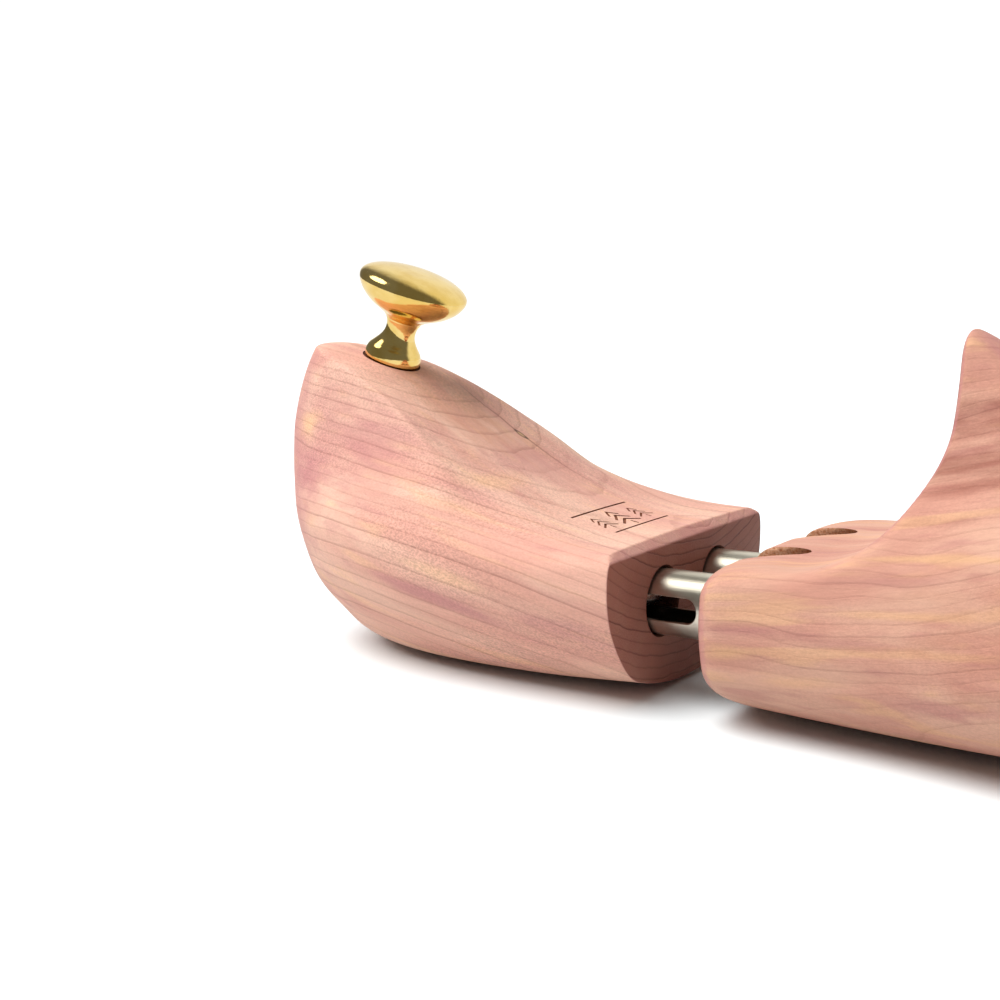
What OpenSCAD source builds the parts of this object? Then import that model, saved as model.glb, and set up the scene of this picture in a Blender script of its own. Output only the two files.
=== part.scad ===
// Cedar shoe tree with twin sprung tubes, a tilting heel and a split toe.
// Units are millimetres. X runs from the heel to the toe, Z is up, and the sole rests on Z = 0.
// The origin is on the flat under the heel block, midway between the two tubes.
// Right foot: the lateral (outer) side is -Y.

/* [Overall] */
// Length of the heel block, from its front face to its back
heel_len = 96.7; // [94:0.1:101]
// Gap between the heel block and the forepart, which is the travel of the tubes
gap = 15.2; // [12:0.2:15.4]
// Length of the forepart, from its rear face to the tip of the toe
fore_len = 172.8; // [168:0.2:178]
// Distance from the origin to the front face of the heel block
face_x = 30; // [28:0.5:32]

/* [Tubes] */
// Outside diameter of the tubes
tube_d = 12.7; // [11.5:0.1:13]
// Wall of the tubes
tube_wall = 1.1; // [0.8:0.1:1.4]
// Distance between the two tube axes
tube_pitch = 23.7; // [22:0.1:26]
// Height of the tube axes above the ground
tube_z = 18.2; // [17:0.1:19]
// Clearance all round a tube in its wooden bore
bore_gap = 0.3; // [0.25:0.05:0.4]
// Width of the long slot in each tube
slot_w = 4.8; // [4.5:0.1:5.5]
// Distance from the heel's front face to the forward end of the slots
slot_ahead = 9.8; // [9:0.1:11]

/* [Springs and pins] */
// Diameter of the cross pin in the heel block
cross_d = 4; // [3:0.5:4]
// Depth of the cross pin behind the heel's front face
cross_depth = 5; // [4.5:0.1:5]
// Diameter of the pin that the tubes tilt on
pivot_d = 5; // [4:0.5:6]
// Distance of that pin ahead of the forepart's rear face
pivot_in = 34.8; // [32:0.2:38]
// Upward tilt that the mouths of the forepart's bores leave room for, in degrees
tilt = 15; // [12:0.5:15]
// Wire of the heel springs
heel_wire = 1.4; // [1.2:0.1:1.6]
// Number of turns of each heel spring
heel_turns = 9; // [7:1:11]
// Diameter of the toe guide pins
guide_d = 6; // [5:0.5:6.5]
// Wire of the toe springs
toe_wire = 1; // [0.8:0.1:1.2]

/* [Knob] */
// Largest diameter of the knob's head
knob_d = 23.8; // [22:0.2:25]
// Forward lean of the knob in degrees
knob_lean = 21; // [16:0.5:24]
// Distance of the knob's foot behind the heel's front face
knob_back = 72.4; // [70:0.2:74]

/* [Toe] */
// Opening of the split toe at rest
toe_gap = 5; // [4:0.5:6]
// Width of the saw cut between the two halves when they are pressed together
kerf = 0.8; // [0.6:0.1:1]

/* [Hidden] */
$fn = 48;

CEDAR = [0.86, 0.64, 0.55];
BRASS = [0.85, 0.70, 0.32];
NICKEL = [0.86, 0.86, 0.84];
STEEL = [0.62, 0.63, 0.65];

// Places along the length
fore_x = face_x + gap;
toe_x = fore_x + fore_len;
pivot_x = fore_x + pivot_in;
cross_x = face_x - cross_depth;
// The saw cut of the toe runs back along Y = split_y and turns outwards at split_x
split_x = fore_x + 73;
split_y = -3;
split_r = 16;
guide_x = [split_x + 20, split_x + 60];
guide_z = [20, 17];

// Clearances: round a pin that stays put, round one that slides, and at the end of a spring
snug = 0.02;
sliding = 0.06;
spring_end = 0.05;
// A length that takes every cut well clear of the wood
clear = 20;

// Tubes: how far they reach into the heel block at rest, and past the pin they tilt on
tube_in_heel = 36;
tube_past_pin = 6;
// Room for the heel springs behind the tubes, and behind the cross pin in the slots
spring_room = 38;
slot_room = 0.5;
tube_r = tube_d / 2;
tube_y = tube_pitch / 2;
tube_in_r = tube_r - tube_wall;
bore_r = tube_r + bore_gap;
tube_rear = face_x - tube_in_heel;
tube_front = pivot_x + tube_past_pin;
slot_front = face_x + slot_ahead;
slot_rear = cross_x - cross_d / 2 - slot_room;
heel_bore_end = tube_rear - spring_room;

// The tables below are drawn for these lengths and stretch with the driving dimensions. The rear
// of the forepart, which holds the tubes, keeps its shape
heel_drawn = 96.7;
fore_drawn = 172.8;
fore_fixed = 60;
function heel_s(d) = d * heel_drawn / heel_len;
function fore_s(a) = a < fore_fixed ? a :
    fore_fixed + (a - fore_fixed) * (fore_drawn - fore_fixed) / (fore_len - fore_fixed);

// Heel block: [height, distance of the back from the front face]
HEEL_BACK = [[-1, 70], [2, 74], [5, 78.6], [8, 81.6], [14, 86.6], [22, 90], [32, 93.5],
             [44, 96.6], [52, 96], [60, 93.3], [68, 89]];
// Heel block: [height, half width at the front]
HEEL_HALF = [[-1, 20], [2, 22.6], [5, 24.6], [8, 27], [12, 30.2], [17, 33], [23, 34.3],
             [29, 33.6], [36, 29.5], [44, 23.7], [52, 20.1], [60, 18.1], [68, 14]];
// Heel block: [distance behind the front face, height of the top on the centre line]
HEEL_TOP = [[0, 30.6], [8, 31.2], [16, 32.6], [24, 35], [32, 38.5], [40, 42.6], [48, 47.4],
            [56, 52.6], [64, 57.2], [72.4, 61.1], [80, 63], [86, 64], [92, 63.8], [100, 62.8]];
// Heel block: [distance behind the front face, height of the underside on the centre line]
HEEL_SOLE = [[0, 1.1], [20, -0.1], [40, -0.35], [55, 0.1], [70, 1.5], [85, 5], [100, 10]];
// Heel block: [distance behind the front face, crown of the top across its width]
HEEL_CROWN = [[0, 0.0004], [30, 0.001], [45, 0.0022], [60, 0.0045], [72, 0.0085], [83, 0.0125],
              [95, 0.014]];
// Heel block: [distance behind the front face, rounding between the side and the top]
HEEL_ROUND = [[0, 2.8], [6, 3.4], [20, 7.5], [34, 10], [44, 2.5], [50, 0.8], [100, 0.8]];
heel_chamfer = 1.8;
heel_sole_round = 2.5;
// Brings the value of the side close to a true distance
heel_side_scale = 0.85;
fore_side_scale = 0.8;
// Crosswise curve of the undersides, which y squared is divided by
heel_sole_bend = 140;
fore_sole_bend = 170;

// Forepart: [distance ahead of its rear face, half width] on the lateral and medial sides
FORE_LATERAL = [[0, 33], [15, 34.4], [35, 37], [55, 41.5], [73, 45.6], [85, 46.6], [100, 45.8],
                [120, 42.4], [140, 37.4], [155, 33.5], [173, 29]];
FORE_MEDIAL = [[0, 33], [15, 34], [35, 35.5], [55, 39], [73, 43], [88, 44.4], [103, 43.8],
               [120, 41.6], [140, 37.8], [155, 34.5], [173, 30]];
// Forepart: [distance ahead of its rear face, height of the ridge] and of the underside
FORE_TOP = [[0, 73], [30, 72.8], [37, 72.4], [43, 70.7], [51, 65.6], [63, 58.2], [77, 51.4],
            [95, 44.6], [115, 38.6], [135, 33.8], [153, 29.8], [165, 26.4], [173, 23]];
FORE_SOLE = [[0, 1.2], [15, 0.4], [40, -0.3], [73, -0.4], [97, 0.2], [123, 2.6], [148, 6.8],
             [173, 12]];
// Instep: [share of the height, share of the half width]
CONE = [[-0.1, 0.52], [0, 0.68], [0.03, 0.77], [0.09, 0.88], [0.18, 0.965], [0.29, 1],
        [0.42, 0.955], [0.53, 0.87], [0.62, 0.75], [0.7, 0.585], [0.78, 0.47], [0.88, 0.405],
        [1, 0.375], [1.2, 0.36]];
cone_h = 70.2;
// The top of the instep falls away to the medial side from this line
ridge_y = -9;
ridge_fall = 0.25;
// Scoop behind the instep: a round of this radius, its centre ahead of the rear face
scoop_r = 25;
scoop_in = 14.8;
scoop_z = 55.7;
shelf_fall = 0.01;
// Rounding of the scoop's rim, at the rear and from the notches forward
rim_rear = 5;
rim_front = 2;
rim_turn = 27;
// Where the instep's section turns into the dome of the ball and toe, and over what length
dome_from = 35;
dome_over = 50;
// The dome: share of its height where it is widest, and the powers of its upper and lower curves
dome_wide = 0.36;
dome_power = 2.3;
tuck = 0.2;
tuck_power = 2.2;
// Plan of the toe
toe_start = 134.8;
toe_reach = 38;
toe_power = 2.6;
toe_scale = 30;
// Rounding of the crown and underside, of the rear face, and of the toe
fore_round = 5;
rear_round = 6;
toe_round = 1.5;

// Mesh of the wooden blocks
ring_n = 44;
ray_max = 90;

// A smooth curve through knots [[t, v], ...], level beyond its ends
function knot_at(k, t, i = 0) = (i >= len(k) - 2 || t < k[i + 1][0]) ? i : knot_at(k, t, i + 1);
function knot_slope(k, i) =
    let (a = max(i - 1, 0), b = min(i + 1, len(k) - 1))
    (k[b][1] - k[a][1]) / (k[b][0] - k[a][0]);
function curve(k, t0) =
    let (t = min(max(t0, k[0][0]), k[len(k) - 1][0]),
         i = knot_at(k, t),
         h = k[i + 1][0] - k[i][0],
         u = (t - k[i][0]) / h,
         u2 = u * u,
         u3 = u2 * u)
    (2 * u3 - 3 * u2 + 1) * k[i][1] + (u3 - 2 * u2 + u) * h * knot_slope(k, i)
    + (3 * u2 - 2 * u3) * k[i + 1][1] + (u3 - u2) * h * knot_slope(k, i + 1);

// The larger of two distances, rounded where they meet
function round_max(a, b, r) = let (h = max(r - abs(a - b), 0) / r) max(a, b) + h * h * r / 4;

// Heel block as a signed height function: negative inside. d is measured back from the face
function heel_f(d, y, z) =
    let (s = heel_s(d),
         half = curve(HEEL_HALF, z),
         back = pow(s / curve(HEEL_BACK, z), 4),
         side = (sqrt(pow(y / half, 2) + back) - 1) * half * heel_side_scale,
         top = z - curve(HEEL_TOP, s) + curve(HEEL_CROWN, s) * y * y,
         body = round_max(side, top, curve(HEEL_ROUND, s)),
         sole = curve(HEEL_SOLE, s) + y * y / heel_sole_bend - z,
         slant = (heel_chamfer - d + z - curve(HEEL_TOP, heel_chamfer)) / sqrt(2))
    max(round_max(body, sole, heel_sole_round), slant);

// Forepart as the same kind of function. a is measured ahead of its rear face
function fore_dome(z, low, top) =
    let (wide = low + (top - low) * dome_wide)
    z > wide ? sqrt(max(1 - pow(min((z - wide) / (top - wide), 1), dome_power), 0))
             : 1 - tuck * pow(min((wide - z) / (wide - low), 1.3), tuck_power);
function scoop_f(a, z) =
    a < scoop_in ? scoop_z - scoop_r - pow(scoop_in - a, 2) * shelf_fall - z :
    z > scoop_z ? a - scoop_in - scoop_r :
    norm([a - scoop_in, z - scoop_z]) - scoop_r;
function scoop_round(a) = rim_front + (rim_rear - rim_front) * max(1 - a / rim_turn, 0);
function fore_f(a, y, z) =
    let (s = fore_s(a),
         top = curve(FORE_TOP, s),
         low = curve(FORE_SOLE, s),
         half = curve(y < 0 ? FORE_LATERAL : FORE_MEDIAL, s),
         m = min(max((s - dome_from) / dome_over, 0), 1),
         mix = m * m * (3 - 2 * m),
         share = curve(CONE, z / cone_h) * (1 - mix) + fore_dome(z, low, top) * mix,
         fall = ridge_fall * max(y - ridge_y, 0) * (1 - mix),
         crown = round_max((abs(y) - half * share) * fore_side_scale, z - top + fall, fore_round),
         ends = round_max(crown, -a, rear_round),
         toe = s < toe_start ? -50 :
               toe_scale * (pow((s - toe_start) / toe_reach, toe_power) + pow(y / (half + 2), 2) - 1),
         nose = round_max(ends, toe, toe_round),
         scooped = round_max(nose, -scoop_f(a, z), scoop_round(a)))
    round_max(scooped, low + y * y / fore_sole_bend - z, fore_round);

// Distance from the middle of a section to its surface, along one ray
function heel_ray(d, c, s, mid, lo = 0, hi = ray_max, n = 16) =
    n == 0 ? lo :
    let (m = (lo + hi) / 2)
    heel_f(d, m * s, mid - m * c) < 0 ? heel_ray(d, c, s, mid, m, hi, n - 1)
                                      : heel_ray(d, c, s, mid, lo, m, n - 1);
function fore_ray(a, c, s, mid, lo = 0, hi = ray_max, n = 16) =
    n == 0 ? lo :
    let (m = (lo + hi) / 2)
    fore_f(a, m * s, mid - m * c) < 0 ? fore_ray(a, c, s, mid, m, hi, n - 1)
                                      : fore_ray(a, c, s, mid, lo, m, n - 1);

// A closed skin over rings of points, with flat ends
module skin(rings) {
    n = len(rings);
    m = len(rings[0]);
    polyhedron(
        points = [for (r = rings) each r],
        faces = concat(
            [[for (j = [0 : m - 1]) j]],
            [for (i = [0 : n - 2], j = [0 : m - 1], half = [0, 1])
                let (k = (j + 1) % m, a = i * m, b = (i + 1) * m)
                half == 0 ? [a + j, b + j, b + k] : [a + j, b + k, a + k]],
            [[for (j = [m - 1 : -1 : 0]) (n - 1) * m + j]]),
        convexity = 6);
}

module heel_body() {
    steps = 32;
    last_ring = 0.05;
    // [distance behind the front face, height of the middle that the rays leave from]
    middle = [[0, 15], [60, 30], [86, 44], [97, 46.5]];
    back = [for (i = [1 : steps]) (heel_len - last_ring) * sin(90 * i / steps)];
    ordered = concat([0, heel_chamfer], [for (d = back) if (d > 1.2 * heel_chamfer) d]);
    rings = [for (d = ordered) [for (j = [0 : ring_n - 1])
        let (t = 360 * j / ring_n, mid = lookup(heel_s(d), middle), r = heel_ray(d, cos(t), sin(t), mid))
        [face_x - d, r * sin(t), mid - r * cos(t)]]];
    skin(rings);
}

// The whole forepart before it is split, or only its part beyond a given station
module fore_body(from = 0) {
    mid = 14;
    first_ring = 0.01;
    last_ring = 0.1;
    nose_from = 134;
    rear = [for (i = [0 : 5]) first_ring + rear_round * (1 - cos(18 * i))];
    shelf = [for (a = [9 : 4 : 25]) a];
    instep = [for (a = [28 : 2.2 : 38]) a];
    crest = [for (a = [-0.3, 0.3, 1.5]) scoop_in + scoop_r + a];
    behind_ball = [for (a = [44 : 3 : 53]) a];
    ball = [for (a = [57 : 6 : 129]) a];
    nose = [for (i = [0 : 9]) nose_from + (fore_len - last_ring - nose_from) * sin(10 * i)];
    rings = [for (a = concat(rear, shelf, instep, crest, behind_ball, ball, nose)) if (a >= from)
        [for (j = [0 : ring_n - 1])
            let (t = -360 * j / ring_n, r = fore_ray(a, cos(t), sin(t), mid))
            [fore_x + a, r * sin(t), mid - r * cos(t)]]];
    skin(rings);
}

// Everything below the ground, to cut the flats that the blocks stand on
module below_ground() {
    translate([-150, -100, -50]) cube([500, 200, 50]);
}

module x_bore(x0, x1, y, z, r) {
    translate([x0, y, z]) rotate([0, 90, 0]) cylinder(r = r, h = x1 - x0);
}

module y_bore(x, y0, y1, z, r) {
    translate([x, y0, z]) rotate([-90, 0, 0]) cylinder(r = r, h = y1 - y0);
}

// Outline of the side piece in plan, with its inner corner on an arc
module split_plan(grow = 0) {
    arc = split_r + grow;
    polygon(concat(
        [[toe_x + clear, -90], [toe_x + clear, split_y + grow]],
        [for (a = [0 : 90 / 8 : 90])
            [split_x + split_r - arc * sin(a), split_y - split_r + arc * cos(a)]],
        [[split_x - grow, -90]]));
}

module split_zone(grow = 0) {
    translate([0, 0, -10]) linear_extrude(100) split_plan(grow);
}

// Room for one tube in the forepart at every tilt
module tilt_slot(y) {
    back = pivot_in + 12;
    front = tube_past_pin + 4;
    translate([pivot_x, y, tube_z]) {
        x_bore(-back, front, 0, 0, bore_r);
        rotate([0, tilt, 0]) x_bore(-back, front, 0, 0, bore_r);
        tilt_wedge([[0, 0], [-back, 0], [-back * cos(tilt), back * sin(tilt)]]);
        tilt_wedge([[0, 0], [front, 0], [front * cos(tilt), -front * sin(tilt)]]);
    }
}

// The wedge is a little narrower than the bore, so that its sides cross the bore's wall
module tilt_wedge(corners) {
    half = bore_r - bore_gap / 5;
    translate([0, half, 0]) rotate([90, 0, 0]) linear_extrude(2 * half) polygon(corners);
}

module heel_block() {
    color(CEDAR) difference() {
        heel_body();
        below_ground();
        for (side = [-1, 1]) x_bore(heel_bore_end, face_x + clear, side * tube_y, tube_z, bore_r);
        y_bore(cross_x, cross_y0 - 1, 60, tube_z, cross_d / 2 + snug);
        knob_place() translate([0, 0, -stud_depth]) cylinder(d = stud_d + 2 * snug, h = stud_depth + clear);
        knob_place() cylinder(r = knob_seat_r, h = clear);
    }
}

// The knob stands on the sloping top of the heel, on a stud in a blind hole in each of them
stud_d = 5;
stud_depth = 16;
stud_in_knob = 9;
stud_room = 1;
knob_seat_r = knob_d * 0.28;
knob_foot = curve(HEEL_TOP, heel_s(knob_back));
knob_sink = 0.9;
module knob_place() {
    translate([face_x - knob_back, 0, knob_foot]) rotate([0, knob_lean, 0])
        translate([0, 0, -knob_sink]) children();
}

// Turned outline of the knob: [radius as a share of the head, height above its foot]
KNOB_LINE = [[0.48, 0], [0.515, 0.9], [0.515, 1.9], [0.485, 3], [0.42, 4], [0.345, 5.2], [0.295, 6.4],
             [0.28, 7.6], [0.295, 8.8], [0.335, 9.8], [0.41, 10.7], [0.54, 11.6], [0.73, 12.9],
             [0.89, 14.6], [0.975, 16.2], [1, 17.4], [0.97, 18.3], [0.87, 19.2], [0.68, 20],
             [0.42, 20.6], [0.18, 20.8], [0, 20.85]];
module knob() {
    color(BRASS) knob_place() difference() {
        rotate_extrude($fn = 64) polygon(concat([[0, 0]],
            [for (p = KNOB_LINE) [p[0] * knob_d / 2, p[1]]]));
        translate([0, 0, -1]) cylinder(d = stud_d + 2 * snug, h = 1 + stud_in_knob + stud_room);
    }
}

module knob_stud() {
    color(STEEL) knob_place() translate([0, 0, stud_room - stud_depth])
        cylinder(d = stud_d, h = stud_depth - stud_room + stud_in_knob);
}

// The cross pin stops short of the medial side, and a cedar plug fills its hole
cross_y0 = -25;
cross_y1 = 27;
plug_reach = 33;
module heel_cross_pin() {
    color(STEEL) y_bore(cross_x, cross_y0, cross_y1, tube_z, cross_d / 2);
}

module heel_pin_plug() {
    color(CEDAR) intersection() {
        y_bore(cross_x, cross_y1, 40, tube_z, cross_d / 2);
        translate([cross_x, 0, tube_z]) cylinder(r = plug_reach, h = clear, center = true);
    }
}

// A coil spring along +Z from z = 0, built from straight links with closed flat ends
module coil(r, wire, length, turns, sides = 8, steps = 14) {
    n = turns * steps;
    rise = function(t) t < 1 ? wire * t : t > turns - 1
        ? length - wire - wire * (turns - t) : wire + (length - 3 * wire) * (t - 1) / (turns - 2);
    rings = [for (i = [0 : n])
        let (t = i / steps, a = 360 * t, z = wire / 2 + rise(t))
        [for (j = [0 : sides - 1])
            let (b = 360 * j / sides, q = r + wire / 2 * cos(b))
            [q * cos(a), q * sin(a), z + wire / 2 * sin(b)]]];
    skin(rings);
}

heel_spring_r = tube_in_r;
seat_flange = 1.5;
heel_spring_len = tube_rear - seat_flange - heel_bore_end - 2 * spring_end;
module heel_spring(side) {
    color(STEEL) translate([heel_bore_end + spring_end, side * tube_y, tube_z]) rotate([0, 90, 0])
        coil(heel_spring_r, heel_wire, heel_spring_len, heel_turns);
}
module heel_spring_lateral() { heel_spring(-1); }
module heel_spring_medial() { heel_spring(1); }

// Bright tube with a slot through both walls for the cross pin, and a hole for the tilt pin
module tube(side) {
    color(NICKEL) translate([0, side * tube_y, 0]) difference() {
        x_bore(tube_rear, tube_front, 0, tube_z, tube_r);
        x_bore(tube_rear - 1, tube_front + 1, 0, tube_z, tube_in_r);
        for (x = [slot_rear + slot_w / 2, slot_front - slot_w / 2])
            y_bore(x, -tube_d, tube_d, tube_z, slot_w / 2);
        translate([slot_rear + slot_w / 2, -tube_d, tube_z - slot_w / 2])
            cube([slot_front - slot_rear - slot_w, 2 * tube_d, slot_w]);
        y_bore(pivot_x, -tube_d, tube_d, tube_z, pivot_d / 2 + sliding);
    }
}
module tube_lateral() { tube(-1); }
module tube_medial() { tube(1); }

// Flanged nylon seat pressed into the rear end of each tube
seat_in = 8;
seat_hole_r = 2.2;
module spring_seat(side) {
    color([0.16, 0.16, 0.17]) translate([0, side * tube_y, 0]) difference() {
        union() {
            x_bore(tube_rear - seat_flange, tube_rear, 0, tube_z, tube_r - sliding);
            x_bore(tube_rear, tube_rear + seat_in, 0, tube_z, tube_in_r - snug);
        }
        x_bore(tube_rear - clear, tube_rear + clear, 0, tube_z, seat_hole_r);
    }
}
module spring_seat_lateral() { spring_seat(-1); }
module spring_seat_medial() { spring_seat(1); }

// Guide pins of the split toe: fixed in the forepart, sliding in the side piece
guide_y0 = -24;
guide_y1 = 14;
guide_r = guide_d / 2;
spring_pocket_r = 5.4;
pocket_deep = 10;
stop_d = 2;
stop_in = 16;
stop_y = -stop_in - toe_gap;
module forepart_block() {
    color(CEDAR) difference() {
        fore_body();
        below_ground();
        split_zone(kerf);
        for (side = [-1, 1]) tilt_slot(side * tube_y);
        y_bore(pivot_x, tilt_y0 - 1, 60, tube_z, pivot_d / 2 + snug);
        for (i = [0, 1]) {
            y_bore(guide_x[i], split_y - clear, guide_y1, guide_z[i], guide_r + snug);
            y_bore(guide_x[i], split_y - clear, split_y + kerf + pocket_deep, guide_z[i], spring_pocket_r);
        }
    }
}

// The tilt pin lies across both tubes, with a cedar plug behind it on the medial side
tilt_y0 = -23;
tilt_y1 = 29;
tilt_plug_y1 = 34;
module tilt_pin() {
    color(STEEL) y_bore(pivot_x, tilt_y0, tilt_y1, tube_z, pivot_d / 2);
}

module tilt_pin_plug() {
    color(CEDAR) y_bore(pivot_x, tilt_y1, tilt_plug_y1, tube_z, pivot_d / 2);
}

module toe_side_block() {
    color(CEDAR) difference() {
        translate([0, -toe_gap, 0]) intersection() {
            fore_body(62);
            split_zone();
        }
        for (i = [0, 1]) {
            y_bore(guide_x[i], guide_y0 - toe_gap - kerf - 3, clear, guide_z[i], guide_r + sliding);
            y_bore(guide_x[i], split_y - toe_gap - pocket_deep, clear, guide_z[i], spring_pocket_r);
            translate([guide_x[i], stop_y, -5]) cylinder(d = stop_d + 2 * snug, h = guide_z[i] + 10);
        }
    }
}

// A guide pin with a slot along it, where the stop pin of the side piece runs
module guide_pin(i) {
    beside = 0.15;
    beyond = 0.3;
    color(STEEL) difference() {
        y_bore(guide_x[i], guide_y0, guide_y1, guide_z[i], guide_r);
        translate([guide_x[i] - stop_d / 2 - beside, stop_y - stop_d / 2 - beyond, guide_z[i] - guide_d])
            cube([stop_d + 2 * beside, toe_gap + stop_d + 2 * beyond, 2 * guide_d]);
    }
}
module guide_pin_rear() { guide_pin(0); }
module guide_pin_front() { guide_pin(1); }

module toe_spring(i) {
    inner_r = guide_r + 0.5;
    turns = 8;
    length = 2 * pocket_deep + kerf + toe_gap - 2 * spring_end;
    start = split_y - toe_gap - pocket_deep + spring_end;
    color(STEEL) translate([guide_x[i], start, guide_z[i]]) rotate([-90, 0, 0])
        coil(inner_r + toe_wire / 2, toe_wire, length, turns);
}
module toe_spring_rear() { toe_spring(0); }
module toe_spring_front() { toe_spring(1); }

// Its lower end is sunk into the underside, and its upper end stands above the guide pin
module stop_pin(i) {
    sunk = 1;
    base = curve(FORE_SOLE, fore_s(guide_x[i] - fore_x)) + pow(stop_in, 2) / fore_sole_bend + sunk;
    color(STEEL) translate([guide_x[i], stop_y, base])
        cylinder(d = stop_d, h = guide_z[i] + guide_r + 1 - base);
}
module stop_pin_rear() { stop_pin(0); }
module stop_pin_front() { stop_pin(1); }

heel_block();
knob();
knob_stud();
heel_cross_pin();
heel_pin_plug();
heel_spring_lateral();
heel_spring_medial();
tube_lateral();
tube_medial();
spring_seat_lateral();
spring_seat_medial();
forepart_block();
tilt_pin();
tilt_pin_plug();
toe_side_block();
guide_pin_rear();
guide_pin_front();
toe_spring_rear();
toe_spring_front();
stop_pin_rear();
stop_pin_front();
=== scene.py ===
import math

import bmesh
import bpy
import numpy as np
from mathutils import Matrix, Vector


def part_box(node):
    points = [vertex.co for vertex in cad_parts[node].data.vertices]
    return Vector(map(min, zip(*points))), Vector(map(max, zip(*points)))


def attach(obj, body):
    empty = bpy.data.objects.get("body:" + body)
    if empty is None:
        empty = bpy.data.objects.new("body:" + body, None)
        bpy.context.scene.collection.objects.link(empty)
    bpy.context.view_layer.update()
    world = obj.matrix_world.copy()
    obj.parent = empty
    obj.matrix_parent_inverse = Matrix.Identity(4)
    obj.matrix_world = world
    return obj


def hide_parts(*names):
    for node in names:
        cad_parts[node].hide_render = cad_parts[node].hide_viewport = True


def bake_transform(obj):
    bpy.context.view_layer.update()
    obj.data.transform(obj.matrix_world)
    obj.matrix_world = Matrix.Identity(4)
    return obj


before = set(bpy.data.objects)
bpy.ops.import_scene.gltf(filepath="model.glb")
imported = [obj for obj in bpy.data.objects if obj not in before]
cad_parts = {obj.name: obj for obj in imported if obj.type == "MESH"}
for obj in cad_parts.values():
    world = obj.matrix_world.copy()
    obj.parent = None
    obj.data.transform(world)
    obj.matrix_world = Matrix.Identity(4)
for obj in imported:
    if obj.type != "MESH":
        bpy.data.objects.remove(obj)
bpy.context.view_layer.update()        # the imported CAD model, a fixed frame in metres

# A cedar shoe tree: the looks around the CAD frame.
# Shapes are worked out in millimetres, in the CAD frame, and turned into metres when a mesh is made.
MM = 0.001


def box_mm(node):
    """Lowest and highest corner of a CAD node, in millimetres."""
    low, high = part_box(node)
    return np.array(low) / MM, np.array(high) / MM


def middle_mm(node):
    low, high = box_mm(node)
    return (low + high) / 2


# ---------------- sizes read from the frame
heel_low, heel_high = box_mm("heel_block")
fore_low, fore_high = box_mm("forepart_block")
tube_low, tube_high = box_mm("tube_lateral")
face_x = round(heel_high[0], 1)
heel_len = round(face_x - heel_low[0], 1)
fore_x = round(fore_low[0], 1)
last_ring = 0.1         # the forepart's skin ends this far short of the toe's tip
fore_len = round(fore_high[0] - fore_x, 1) + last_ring
tube_y = -middle_mm("tube_lateral")[1]
tube_z = middle_mm("tube_lateral")[2]
tube_r = (tube_high[2] - tube_low[2]) / 2
tube_rear, tube_front = tube_low[0], tube_high[0]
pivot_x = middle_mm("tilt_pin")[0]
cross_x = middle_mm("heel_cross_pin")[0]
guides = [middle_mm("guide_pin_" + word) for word in ("rear", "front")]
guide_x = [middle[0] for middle in guides]
guide_z = [middle[2] for middle in guides]
split_x = round(box_mm("toe_side_block")[0][0], 1)

# ---------------- sizes of the design
bore_gap = 0.35         # room all round a tube in its bore
bore_r = tube_r + bore_gap
tube_wall = 1.1
tube_in_r = tube_r - tube_wall
cross_r, pivot_r = 2.0, 2.5
slot_half = 2.4
slot_ahead = 9.8        # how far the slots reach ahead of the heel's front face
slot_room = 0.5         # room behind the cross pin in the slots
slot_front = face_x + slot_ahead
slot_rear = cross_x - (cross_r + slot_room)
spring_room = 38        # room for the heel springs behind the tubes
heel_bore_end = tube_rear - spring_room
seat_flange, seat_in, seat_hole_r = 1.5, 8, 2.2
heel_wire, heel_turns = 1.4, 9
toe_wire, toe_turns, toe_coil_r = 1.0, 8, 4.0
tilt = math.radians(15)
split_y, split_r = -3.0, 16.0
kerf = 0.8
saw_edge = 0.8          # easing of the sawn edges of the split toe
toe_gap = 5.0
pocket_r, pocket_deep = 5.4, 10.0
guide_r, stop_r = 3.0, 1.0
stop_in = 16
stop_y = -stop_in - toe_gap
knob_back = 72.4
knob_lean = math.radians(21)
knob_r = 11.9
knob_sink = 0.9
stud_r, stud_depth, stud_room, stud_in_knob = 2.5, 16, 1, 9
snug = 0.03             # clearance round a pin that stays put
sliding = 0.06          # clearance round a pin that turns
guide_gap, stud_gap = 0.08, 0.02
# Where the pins' holes start and end across the part
cross_hole, pivot_hole = (-26, 33.2), (-24, 35.2)
guide_end_main, guide_end_side = 14.2, -33
# The order of a turned shape's own axes when it lies along X, Y or Z
AXES = {"X": [2, 0, 1], "Y": [1, 2, 0], "Z": [0, 1, 2]}

# Heel block: [height, distance of the back from the front face] and [height, half width at the front]
HEEL_BACK = [[-1, 70], [2, 74], [5, 78.6], [8, 81.6], [14, 86.6], [22, 90], [32, 93.5],
             [44, 96.6], [52, 96], [60, 93.3], [68, 89]]
HEEL_HALF = [[-1, 20], [2, 22.6], [5, 24.6], [8, 27], [12, 30.2], [17, 33], [23, 34.3],
             [29, 33.6], [36, 29.5], [44, 23.7], [52, 20.1], [60, 18.1], [68, 14]]
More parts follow.
